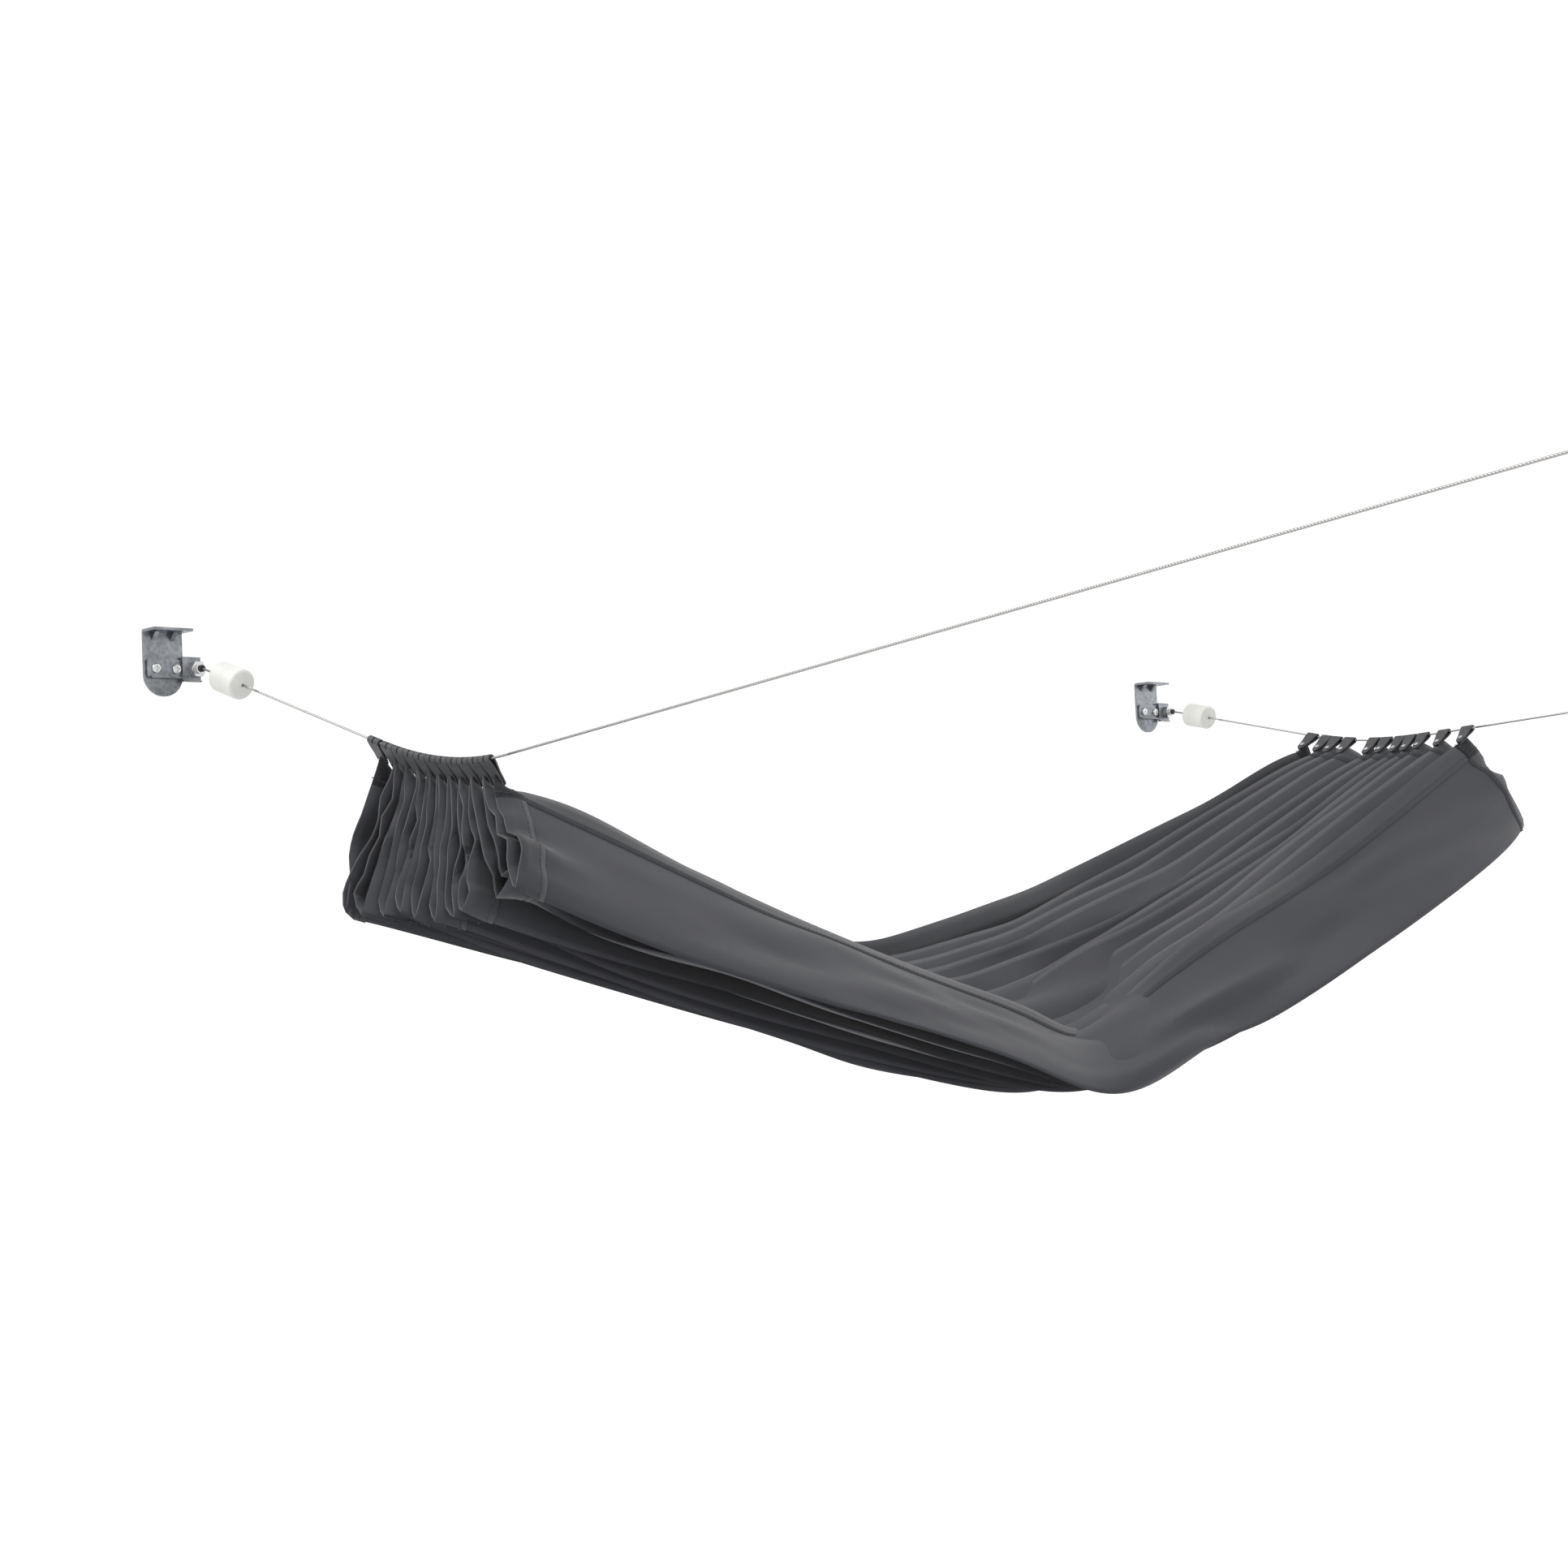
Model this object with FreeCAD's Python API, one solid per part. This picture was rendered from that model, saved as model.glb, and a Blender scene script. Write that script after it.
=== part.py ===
"""Sun-shade sail gathered under two ceiling-hung wires. Millimetres, +Z up.
The origin is in the ceiling plane, midway between the wires and between their ends."""
import FreeCAD, Part
import math
import os

V = FreeCAD.Vector

# overall layout
wire_spacing = 1320.0
hardware_half_span = 869.0
line_drop = 34.0            # ceiling to the stud line

# ceiling bracket
plate_width = 38.0
plate_height = 58.0
sheet = 2.5
flange_reach = 22.0
mount_hole_radius = 2.75
mount_hole_spacing = 20.0
gusset_size = 7.0
gusset_width = 4.0
gusset_offset = 9.0

# tension plate
stud_offset = 28.8          # stud line to the bracket's centre line
strip = 2.0
screw_leg_height = 16.5
nut_leg_height = 22.0
nut_leg_width = 17.0
step_forward = 2.5
lip_reach = 4.0
screw_places = (-8.5, 11.4)
screw_radius = 2.5
screw_head_radius = 4.25
screw_head_height = 2.2

# stud, nut and sleeve
stud_radius = 4.0
stud_bore = 2.5
stud_past_nut = 3.0
stud_past_plate = 3.5
thread_clearance = 0.05
nut_across_flats = 13.0
nut_height = 6.0
body_clearance = 0.3
sleeve_out = 2.2
sleeve_in = 4.0

# wire and bumper
wire_radius = 1.0
wire_bore_clearance = 0.35
bumper_radius = 13.5
bumper_length = 31.0
bumper_gap = 27.0
end_tangent = 4.0

# runner hook
runner_width = 13.2
crown_radius = 3.3
runner_wall = 1.5
leg_length = 26.0
leg_taper_start = 5.0
leg_tip_width = 7.0
leg_clamp_start = 13.0
notch_width = 1.4
rivet_place = 19.0
rivet_radius = 1.75
rivet_head_radius = 2.4
rivet_head_height = 0.8

# sail
cloth = 1.0
pleat_half_gap = 3.2
ridge_sag = 285.0
ridge_sharpness = 1.3       # 1 is a plain V, 2 a parabola
fold_sag = 208.0
middle_slope = 30.0
stations = 8
hem_width = 25.0
hem_thickness = 0.8

# each wire: where the sail's weight bends it, seen from the near end of the wires
plane_tilt = 0.335
wires = {
    "left": dict(side=-1, bend=302.8, drop=120.3, tangent=80.0, first=236.0,
                 leg_dip=54.0, fold_drop=118.0, fold_lean=40.0,
                 gaps=[17.0] + [13.9] * 9),
    "right": dict(side=1, bend=285.9, drop=69.1, tangent=75.0, first=219.0,
                  leg_dip=38.0, fold_drop=98.0, fold_lean=78.0,
                  gaps=[21.0, 14.0, 18.5, 34.0, 16.0, 18.5, 13.8, 16.0, 26.0, 29.5]),
}

plate_front = sleeve_out + stud_past_nut + nut_height + body_clearance + strip + step_forward
plate_back = plate_front + sheet
parts = {}


def box(x0, x1, y0, y1, z0, z1):
    return Part.makeBox(x1 - x0, y1 - y0, z1 - z0, V(x0, y0, z0))


def cylinder(radius, start, end):
    line = end - start
    return Part.makeCylinder(radius, line.Length, start, line)


def prism(points, reach):
    closed = points + [points[0]]
    return Part.Face(Part.makePolygon(closed)).extrude(reach)


# hardware at one wire end: the sleeve's mouth is at the local origin and +Y points outward
def bracket():
    x0 = -stud_offset - plate_width / 2
    x1 = x0 + plate_width
    centre = -stud_offset
    round_z = -plate_height + plate_width / 2
    body = box(x0, x1, plate_front, plate_back, round_z, 0)
    body = body.fuse(cylinder(plate_width / 2, V(centre, plate_front, round_z), V(centre, plate_back, round_z)))
    body = body.fuse(box(x0, x1, plate_back - flange_reach, plate_back, -sheet, 0))
    for side in (-1, 1):
        x = centre + side * gusset_offset - gusset_width / 2
        rib = prism([V(x, plate_front, -sheet), V(x, plate_front - gusset_size, -sheet),
                     V(x, plate_front, -sheet - gusset_size)], V(gusset_width, 0, 0))
        body = body.fuse(rib)
    hole_y = flange_hole_y()
    for side in (-1, 1):
        x = centre + side * mount_hole_spacing / 2
        body = body.cut(cylinder(mount_hole_radius, V(x, hole_y, -sheet - 1), V(x, hole_y, 1)))
    for place in screw_places:
        x = centre + place
        body = body.cut(cylinder(screw_radius, V(x, plate_front - 1, -line_drop), V(x, plate_back + 1, -line_drop)))
    body = body.removeSplitter()
    edges = [e for e in body.Edges if abs(e.BoundBox.YLength) < 1e-6 and abs(e.BoundBox.ZLength) < 1e-6
             and abs(e.BoundBox.YMin - plate_back) < 1e-6 and abs(e.BoundBox.ZMin) < 1e-6]
    return body.makeFillet(sheet, edges)


def flange_hole_y():
    return plate_back - flange_reach + (flange_reach - sheet - gusset_size) / 2


def tension_plate():
    centre = -stud_offset
    left = centre - 17.0
    step = centre + 16.0
    right = step + 1.0 + nut_leg_width
    low = -line_drop - screw_leg_height / 2
    high = -line_drop + screw_leg_height / 2
    low_nut = -line_drop - nut_leg_height / 2
    high_nut = -line_drop + nut_leg_height / 2
    front = plate_front - strip
    nut_front = front - step_forward
    leg = box(left, step + strip, front, plate_front, low, high)
    corners = [e for e in leg.Edges if abs(e.BoundBox.XMin - left) < 1e-6 and e.BoundBox.YLength > strip / 2
               and e.BoundBox.ZLength < 1e-6]
    body = leg.makeFillet(3.0, corners)
    # the strip stands clear of the bracket's edge where it steps forward
    body = body.fuse(box(step, step + strip, nut_front, front + strip, low, high))
    body = body.fuse(box(step, right, nut_front, nut_front + strip, low_nut, high_nut))
    body = body.fuse(box(step, right, nut_front - lip_reach + strip, nut_front + strip, low_nut, low_nut + 1.5))
    body = body.fuse(box(left + 3, step, front - lip_reach + strip, front + strip, low, low + 1.5))
    bore = stud_radius + 0.5
    body = body.cut(cylinder(bore, V(0, nut_front - 5, -line_drop), V(0, plate_back + 5, -line_drop)))
    for place in screw_places:
        x = centre + place
        body = body.cut(cylinder(screw_radius, V(x, front - 5, -line_drop), V(x, plate_front + 5, -line_drop)))
    return body.removeSplitter()


def plate_screws():
    solids = []
    front = plate_front - strip
    for place in screw_places:
        x = place - stud_offset
        z = -line_drop
        screw = cylinder(screw_radius, V(x, front - 0.2, z), V(x, plate_back + 4, z))
        head = cylinder(screw_head_radius, V(x, front, z), V(x, front - screw_head_height, z))
        rim = [e for e in head.Edges if e.BoundBox.YLength < 1e-6 and e.BoundBox.YMin < front - 1]
        head = head.makeFillet(1.2, rim)
        top = front - screw_head_height
        recess = box(x - 2.4, x + 2.4, top - 1, top + 1.3, z - 0.5, z + 0.5)
        recess = recess.fuse(box(x - 0.5, x + 0.5, top - 1, top + 1.3, z - 2.4, z + 2.4))
        solids.append(screw.fuse(head).cut(recess).removeSplitter())
    return Part.makeCompound(solids)


def nut_faces():
    back = plate_front - strip - step_forward - body_clearance
    return back - nut_height, back


def tension_stud():
    start = V(0, sleeve_out, -line_drop)
    end = V(0, plate_front + stud_past_plate, -line_drop)
    stud = cylinder(stud_radius, start, end)
    rims = [e for e in stud.Edges if e.BoundBox.YLength < 1e-6]
    stud = stud.makeChamfer(0.6, rims)
    return stud.cut(cylinder(stud_bore, start - V(0, 1, 0), end + V(0, 1, 0)))


def tension_nut():
    low, high = nut_faces()
    corner = nut_across_flats / math.sqrt(3)
    ring = [V(corner * math.cos(math.radians(60 * i)), low, -line_drop + corner * math.sin(math.radians(60 * i)))
            for i in range(6)]
    nut = prism(ring, V(0, high - low, 0))
    bore = stud_radius + thread_clearance
    return nut.cut(cylinder(bore, V(0, low - 1, -line_drop), V(0, high + 1, -line_drop)))


def stud_sleeve():
    bore = wire_radius + wire_bore_clearance
    body = cylinder(stud_bore, V(0, 0, -line_drop), V(0, sleeve_out + sleeve_in, -line_drop))
    lip = cylinder(stud_bore + 0.6, V(0, 0, -line_drop), V(0, sleeve_out, -line_drop))
    hole = cylinder(bore, V(0, -1, -line_drop), V(0, sleeve_out + sleeve_in + 1, -line_drop))
    return body.fuse(lip).cut(hole).removeSplitter()


def at_end(shape, side, end):
    placed = shape.copy()
    if end == "far":
        placed.rotate(V(0, 0, 0), V(0, 0, 1), 180)
    reach = hardware_half_span if end == "near" else -hardware_half_span
    placed.translate(V(side * wire_spacing / 2, reach, 0))
    return placed


# the wire's route: s runs from the near sleeve towards the far one, d is the drop in the tilted plane
def wire_point(w, s, d):
    scale = math.hypot(plane_tilt, 1)
    inward = plane_tilt / scale * d
    return V(w["side"] * (wire_spacing / 2 - inward), hardware_half_span - s, -line_drop - d / scale)


def wire_corners(w):
    length = 2 * hardware_half_span
    inside = stud_bore + sleeve_in + 2
    return [wire_point(w, -inside, 0), wire_point(w, 0, 0), wire_point(w, w["bend"], w["drop"]),
            wire_point(w, length, 0), wire_point(w, length + inside, 0)]


def wire_route(w):
    """Returns straight and arc pieces as (kind, points) with tangent arcs at each corner."""
    corners = wire_corners(w)
    tangents = [0, end_tangent, w["tangent"], end_tangent, 0]
    pieces = []
    last = corners[0]
    for i in range(1, 4):
        before = (corners[i - 1] - corners[i]).normalize()
        after = (corners[i + 1] - corners[i]).normalize()
        start = corners[i] + before * tangents[i]
        end = corners[i] + after * tangents[i]
        half = before.getAngle(after) / 2
        inward = (before + after).normalize()
        radius = tangents[i] * math.tan(half)
        centre = corners[i] + inward * (tangents[i] / math.cos(half))
        middle = centre - inward * radius
        pieces.append(("line", [last, start]))
        pieces.append(("arc", [start, middle, end, centre, radius]))
        last = end
    pieces.append(("line", [last, corners[4]]))
    return pieces


def wire_solid(w):
    edges = []
    for kind, points in wire_route(w):
        if kind == "line":
            edges.append(Part.LineSegment(points[0], points[1]).toShape())
        else:
            edges.append(Part.Arc(points[0], points[1], points[2]).toShape())
    path = Part.Wire(edges)
    start = wire_corners(w)[0]
    section = Part.Wire(Part.makeCircle(wire_radius, start, V(0, 1, 0)))
    tube = path.makePipeShell([section], True, False)
    expected = math.pi * wire_radius ** 2 * path.Length
    print("wire", w["side"], "length", round(path.Length, 1), "volume ratio", round(tube.Volume / expected, 4),
          "radii", [round(p[1][4]) for p in wire_route(w) if p[0] == "arc"])
    return tube


def on_wire(w, distance):
    """The point and the direction at a distance from the near sleeve's mouth."""
    route = wire_route(w)
    left = distance - end_tangent
    for kind, points in route[2:]:
        if kind == "line":
            size = (points[1] - points[0]).Length
            if left <= size:
                way = (points[1] - points[0]).normalize()
                return points[0] + way * left, way
        else:
            start, middle, end, centre, radius = points
            turn = (start - centre).getAngle(end - centre)
            size = radius * turn
            if left <= size:
                first = (start - centre).normalize()
                second = ((end - centre) - first * (end - centre).dot(first)).normalize()
                angle = left / radius
                point = centre + (first * math.cos(angle) + second * math.sin(angle)) * radius
                way = (second * math.cos(angle) - first * math.sin(angle)).normalize()
                return point, way
        left -= size
    raise ValueError("past the wire's end")


def bumper(start, way):
    body = cylinder(bumper_radius, start, start + way * bumper_length)
    far = [e for e in body.Edges if e.Closed and (e.CenterOfMass - start).dot(way) > bumper_length / 2]
    body = body.makeFillet(3.0, far)
    near = [e for e in body.Edges if e.Closed and abs((e.CenterOfMass - start).dot(way)) < 1e-3]
    body = body.makeFillet(1.5, near)
    bore = wire_radius + wire_bore_clearance
    return body.cut(cylinder(bore, start - way * 2, start + way * (bumper_length + 2)))


def runner_frames(w):
    """One (point, leg, across, normal) for each runner, in order from the near end."""
    frames = []
    distance = w["first"]
    for gap in w["gaps"] + [0]:
        point, way = on_wire(w, distance)
        dip = math.radians(w["leg_dip"])
        leg = V(-w["side"] * math.cos(dip), 0, -math.sin(dip))
        leg = (leg - way * leg.dot(way)).normalize()
        normal = leg.cross(way)
        if normal.z < 0:
            normal = normal * -1
        frames.append((point, leg, way, normal))
        distance += gap
    return frames


def local(frame, a, b, c):
    point, leg, way, normal = frame
    return point + leg * a + way * b + normal * c


def runner(frame):
    half = runner_width / 2
    inner = crown_radius - runner_wall
    shut = cloth / 2
    point, leg, way, normal = frame

    def at(a, c):
        return local(frame, a, -half, c)

    edges = [
        Part.Arc(at(0, crown_radius), at(-crown_radius, 0), at(0, -crown_radius)).toShape(),
        Part.makeLine(at(0, -crown_radius), at(leg_clamp_start, -shut - runner_wall)),
        Part.makeLine(at(leg_clamp_start, -shut - runner_wall), at(leg_length, -shut - runner_wall)),
        Part.makeLine(at(leg_length, -shut - runner_wall), at(leg_length, -shut)),
        Part.makeLine(at(leg_length, -shut), at(leg_clamp_start, -shut)),
        Part.makeLine(at(leg_clamp_start, -shut), at(0, -inner)),
        Part.Arc(at(0, -inner), at(-inner, 0), at(0, inner)).toShape(),
        Part.makeLine(at(0, inner), at(leg_clamp_start, shut)),
        Part.makeLine(at(leg_clamp_start, shut), at(leg_length, shut)),
        Part.makeLine(at(leg_length, shut), at(leg_length, shut + runner_wall)),
        Part.makeLine(at(leg_length, shut + runner_wall), at(leg_clamp_start, shut + runner_wall)),
        Part.makeLine(at(leg_clamp_start, shut + runner_wall), at(0, crown_radius)),
    ]
    body = Part.Face(Part.Wire(edges)).extrude(way * runner_width)
    tip = leg_tip_width / 2
    low = -crown_radius - 1
    plan = [local(frame, low, -half, low), local(frame, leg_taper_start, -half, low),
            local(frame, leg_length - 2, -tip, low), local(frame, leg_length, -tip + 2, low),
            local(frame, leg_length, tip - 2, low), local(frame, leg_length - 2, tip, low),
            local(frame, leg_taper_start, half, low), local(frame, low, half, low)]
    body = body.common(prism(plan, normal * (-2 * low)))
    slot = [local(frame, low, -notch_width / 2, low), local(frame, inner / 2, -notch_width / 2, low),
            local(frame, inner / 2, notch_width / 2, low), local(frame, low, notch_width / 2, low)]
    body = body.cut(prism(slot, normal * (-2 * low)))
    hole = rivet_shank(frame)
    return body.cut(hole)


def rivet_shank(frame):
    reach = cloth / 2 + runner_wall
    return cylinder(rivet_radius, local(frame, rivet_place, 0, -reach), local(frame, rivet_place, 0, reach))


def rivet(frame):
    reach = cloth / 2 + runner_wall
    body = rivet_shank(frame)
    for way in (-1, 1):
        foot = local(frame, rivet_place, 0, way * reach)
        cap = local(frame, rivet_place, 0, way * (reach + rivet_head_height))
        body = body.fuse(cylinder(rivet_head_radius, foot, cap))
    return body.removeSplitter()


# the gathered sail: panels that stand side by side, joined in turn above and below
def flat_or_split(a, b, c, d):
    normal = (b - a).cross(c - a)
    if normal.Length < 1e-9 or abs((d - a).dot(normal.normalize())) < 1e-7:
        return [Part.Face(Part.makePolygon([a, b, c, d, a]))]
    return [Part.Face(Part.makePolygon([a, b, c, a])), Part.Face(Part.makePolygon([a, c, d, a]))]


def panel_lines(left, right):
    """The line y = a + b x of each panel, from its runners at both wires."""
    lines = []
    count = len(left)
    for k in range(count):
        start = local(left[k], leg_clamp_start, 0, 0)
        end = local(right[k], leg_clamp_start, 0, 0)
        slope = (end.y - start.y) / (end.x - start.x)
        base = start.y - slope * start.x
        shifts = (pleat_half_gap, -pleat_half_gap)
        if k == 0:
            shifts = (0,)
        if k == count - 1:
            shifts = (0,)
        for shift in shifts:
            lines.append((base + shift, slope, k))
    return lines


def on_clamp(frame, x, y):
    point, leg, way, normal = frame
    return point.z - (normal.x * (x - point.x) + normal.y * (y - point.y)) / normal.z


def panel_profile(line, left, right, shift):
    """The panel's upper and lower edge points at each station, moved by shift along Y."""
    base, slope, k = line
    first = local(left[k], leg_clamp_start - 1, 0, 0)
    second = local(left[k], leg_length + 2, 0, 0)
    third = local(right[k], leg_length + 2, 0, 0)
    fourth = local(right[k], leg_clamp_start - 1, 0, 0)
    top = []
    low = []
    for i in range(stations + 1):
        u = i / stations
        x = second.x + (third.x - second.x) * u
        z = second.z + (third.z - second.z) * u - ridge_sag * (1 - abs(2 * u - 1) ** ridge_sharpness)
        if i == 0 or i == stations:
            frame = left[k] if i == 0 else right[k]
            z = on_clamp(frame, x, base + slope * x + shift)
        top.append(V(x, base + slope * x + shift, z))
    for point, frame in ((first, left[k]), (fourth, right[k])):
        y = base + slope * point.x + shift
        corner = V(point.x, y, on_clamp(frame, point.x, y))
        top = [corner] + top if frame is left[k] else top + [corner]
    # the lower edge leans out past the upper one at both ends
    x0 = first.x - wires["left"]["fold_lean"]
    x1 = fourth.x + wires["right"]["fold_lean"]
    z0 = level(left) - wires["left"]["fold_drop"]
    z1 = level(right) - wires["right"]["fold_drop"]
    for i in range(stations + 3):
        u = i / (stations + 2)
        x = x0 + (x1 - x0) * u
        z = z0 + (z1 - z0) * u - fold_sag * 4 * u * (1 - u)
        low.append(V(x, base + slope * x + shift, z))
    return top, low


def level(frames):
    """The mean height at which the runners of one wire take hold of the cloth."""
    heights = [local(f, leg_clamp_start, 0, 0).z for f in frames]
    return sum(heights) / len(heights)


def sail_cloth(left, right):
    lines = panel_lines(left, right)
    half = cloth / 2
    rings = []
    count = len(lines)
    for j, line in enumerate(lines):
        # even panels go down from a runner's line, odd panels go up to the next one
        near_top, near_low = panel_profile(line, left, right, half)
        far_top, far_low = panel_profile(line, left, right, -half)
        top_turn = 0 if j in (0, count - 1) else (1 if j % 2 == 1 else -1)
        low_turn = 1 if j % 2 == 0 else -1
        ring = []
        for i in range(len(near_top)):
            slope = middle_slope
            if i <= 1:
                slope = wires["left"]["leg_dip"]
            if i >= len(near_top) - 2:
                slope = wires["right"]["leg_dip"]
            rise = V(0, 0, cloth / 2 / math.cos(math.radians(slope)))
            # a turn's outer corner is on the panel's far side from the turn
            near_up = rise if top_turn >= 0 else rise * -1
            far_up = rise if top_turn <= 0 else rise * -1
            near_down = rise * -1 if low_turn >= 0 else rise
            far_down = rise * -1 if low_turn <= 0 else rise
            ring.append((near_top[i] + near_up, far_top[i] + far_up, near_low[i] + near_down, far_low[i] + far_down))
        rings.append((ring, top_turn, low_turn))
    faces = []
    last = len(rings[0][0]) - 1
    for j, (ring, top_turn, low_turn) in enumerate(rings):
        for i in range(last):
            a = ring[i]
            b = ring[i + 1]
            faces += flat_or_split(a[0], b[0], b[2], a[2])
            faces += flat_or_split(a[1], a[3], b[3], b[1])
            if top_turn == 0:
                faces += flat_or_split(a[0], a[1], b[1], b[0])
            if low_turn == 1:
                c = rings[j + 1][0][i]
                d = rings[j + 1][0][i + 1]
                faces += flat_or_split(a[2], b[2], d[3], c[3])
                faces += flat_or_split(a[3], c[2], d[2], b[3])
            if top_turn == 1:
                c = rings[j + 1][0][i]
                d = rings[j + 1][0][i + 1]
                faces += flat_or_split(a[0], c[1], d[1], b[0])
                faces += flat_or_split(a[1], b[1], d[0], c[0])
        for i in (0, last):
            a = ring[i]
            faces += flat_or_split(a[0], a[1], a[3], a[2])
            if low_turn == 1:
                c = rings[j + 1][0][i]
                faces += flat_or_split(a[2], a[3], c[2], c[3])
            if top_turn == 1:
                c = rings[j + 1][0][i]
                faces += flat_or_split(a[0], a[1], c[0], c[1])
    shell = Part.makeShell(faces)
    shell.sewShape()
    solid = Part.makeSolid(Part.Shell(shell.Faces))
    if solid.Volume < 0:
        solid.reverse()
    # the cloth makes room for the rivets and for the legs that clamp it
    solid = solid.cut([rivet(frame) for frame in left + right])
    solid = solid.cut([runner(frame) for frame in left + right])
    pieces = sorted(solid.Solids, key=lambda piece: piece.Volume)
    print("cloth pieces after the cuts", len(pieces), [round(piece.Volume, 2) for piece in pieces[:-1]][:12])
    return pieces[-1]


def end_hem(line, left, right, way):
    """A folded hem, sewn on the outer face of an end panel just below its free edge."""
    top, low = panel_profile(line, left, right, way * cloth / 2)
    faces = []
    count = len(top)
    reach = V(0, way * hem_thickness, 0)
    for i in range(1, count - 2):
        upper = [top[i] - V(0, 0, 6), top[i + 1] - V(0, 0, 6)]
        quad = [upper[0], upper[1], upper[1] - V(0, 0, hem_width), upper[0] - V(0, 0, hem_width)]
        faces.append(prism(quad, reach))
    return faces[0].multiFuse(faces[1:]).removeSplitter()


def build():
    frames = {name: runner_frames(w) for name, w in wires.items()}
    hardware = {
        "bracket": bracket(),
        "tension_plate": tension_plate(),
        "plate_screws": plate_screws(),
        "tension_stud": tension_stud(),
        "tension_nut": tension_nut(),
        "stud_sleeve": stud_sleeve(),
    }
    for name, w in wires.items():
        for end in ("near", "far"):
            for piece, shape in hardware.items():
                parts[f"{piece}_{end}_{name}"] = at_end(shape, w["side"], end)
        corners = wire_corners(w)
        near_way = (corners[2] - corners[1]).normalize()
        far_way = (corners[2] - corners[3]).normalize()
        parts[f"bumper_near_{name}"] = bumper(corners[1] + near_way * bumper_gap, near_way)
        parts[f"bumper_far_{name}"] = bumper(corners[3] + far_way * bumper_gap, far_way)
        parts[f"wire_{name}"] = wire_solid(w)
        for number, frame in enumerate(frames[name], 1):
            parts[f"runner_{name}_{number:02d}"] = runner(frame)
    rivets = [rivet(f) for f in frames["left"] + frames["right"]]
    parts["runner_rivets"] = Part.makeCompound(rivets)
    parts["sail_cloth"] = sail_cloth(frames["left"], frames["right"])
    lines = panel_lines(frames["left"], frames["right"])
    parts["end_hem_near"] = end_hem(lines[0], frames["left"], frames["right"], 1)
    parts["end_hem_far"] = end_hem(lines[-1], frames["left"], frames["right"], -1)
    os.makedirs("parts", exist_ok=True)
    for name, shape in parts.items():
        good = shape.isValid() and len(shape.Solids) > 0 and shape.Volume > 0
        if not good:
            print("not valid:", name, shape.ShapeType, len(shape.Solids), shape.Volume)
        shape.exportStep(f"parts/{name}.step")
    print(len(parts), "nodes, cloth volume", round(parts["sail_cloth"].Volume / 1000), "cm3,",
          len(parts["sail_cloth"].Faces), "faces")
    for name, w in wires.items():
        corners = wire_corners(w)
        print(name, "near axis", (corners[2] - corners[1]).normalize(), "far axis",
              (corners[2] - corners[3]).normalize())
        print(name, "flange hole centre", -stud_offset, hardware_half_span + flange_hole_y())


build()
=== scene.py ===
import math
import bmesh
import bpy
import numpy as np
from mathutils import Matrix, Vector


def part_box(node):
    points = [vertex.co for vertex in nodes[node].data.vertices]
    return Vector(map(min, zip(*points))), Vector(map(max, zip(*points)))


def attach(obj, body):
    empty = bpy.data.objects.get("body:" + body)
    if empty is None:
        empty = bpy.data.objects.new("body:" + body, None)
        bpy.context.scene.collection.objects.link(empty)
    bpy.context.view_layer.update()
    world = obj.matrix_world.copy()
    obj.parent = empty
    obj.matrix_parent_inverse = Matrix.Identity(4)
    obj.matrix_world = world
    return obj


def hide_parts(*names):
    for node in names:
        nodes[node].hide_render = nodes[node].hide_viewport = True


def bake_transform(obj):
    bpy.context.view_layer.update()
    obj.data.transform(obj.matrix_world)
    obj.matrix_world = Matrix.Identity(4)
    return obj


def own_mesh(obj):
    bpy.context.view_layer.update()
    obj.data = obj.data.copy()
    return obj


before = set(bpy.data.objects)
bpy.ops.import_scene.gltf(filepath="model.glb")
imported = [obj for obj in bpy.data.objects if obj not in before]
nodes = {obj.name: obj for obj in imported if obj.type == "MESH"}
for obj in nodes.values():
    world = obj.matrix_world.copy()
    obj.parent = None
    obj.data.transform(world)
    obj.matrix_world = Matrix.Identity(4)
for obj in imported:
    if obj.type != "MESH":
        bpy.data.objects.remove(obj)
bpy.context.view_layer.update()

# camera, light and floor
view = {"place": (-1.9162, -1.2291, -0.3114), "heading": 42.738, "pitch": 3.681, "roll": -2.552,
        "lens": 63.48, "sensor": 36.0, "reach": 100}


def makeCamera(v):
    heading = math.radians(v["heading"])
    pitch = math.radians(v["pitch"])
    roll = math.radians(v["roll"])
    look = Vector((math.sin(heading) * math.cos(pitch), math.cos(heading) * math.cos(pitch),
                   math.sin(pitch)))
    right = Vector((math.cos(heading), -math.sin(heading), 0))
    up = right.cross(look)
    right, up = (right * math.cos(roll) + up * math.sin(roll),
                 up * math.cos(roll) - right * math.sin(roll))
    data = bpy.data.cameras.new("camera")
    data.lens = v["lens"]
    data.sensor_width = v["sensor"]
    data.clip_end = v["reach"]
    camera = bpy.data.objects.new("camera", data)
    camera.matrix_world = Matrix.Translation(v["place"]) @ Matrix((right, up, -look)).transposed().to_4x4()
    bpy.context.scene.collection.objects.link(camera)
    bpy.context.scene.camera = camera


studio = {"floorLevel": -1.7, "floorSize": 30, "floorTone": 0.93, "floorRoughness": 0.8,
          "world": 1.12, "aim": (0, 0.5, -0.2),
          "key": {"place": (-2.8, 1.4, 2.4), "size": 2.4, "power": 85},
          "fill": {"place": (3.0, -1.4, 1.6), "size": 3.0, "power": 25}}


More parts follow.
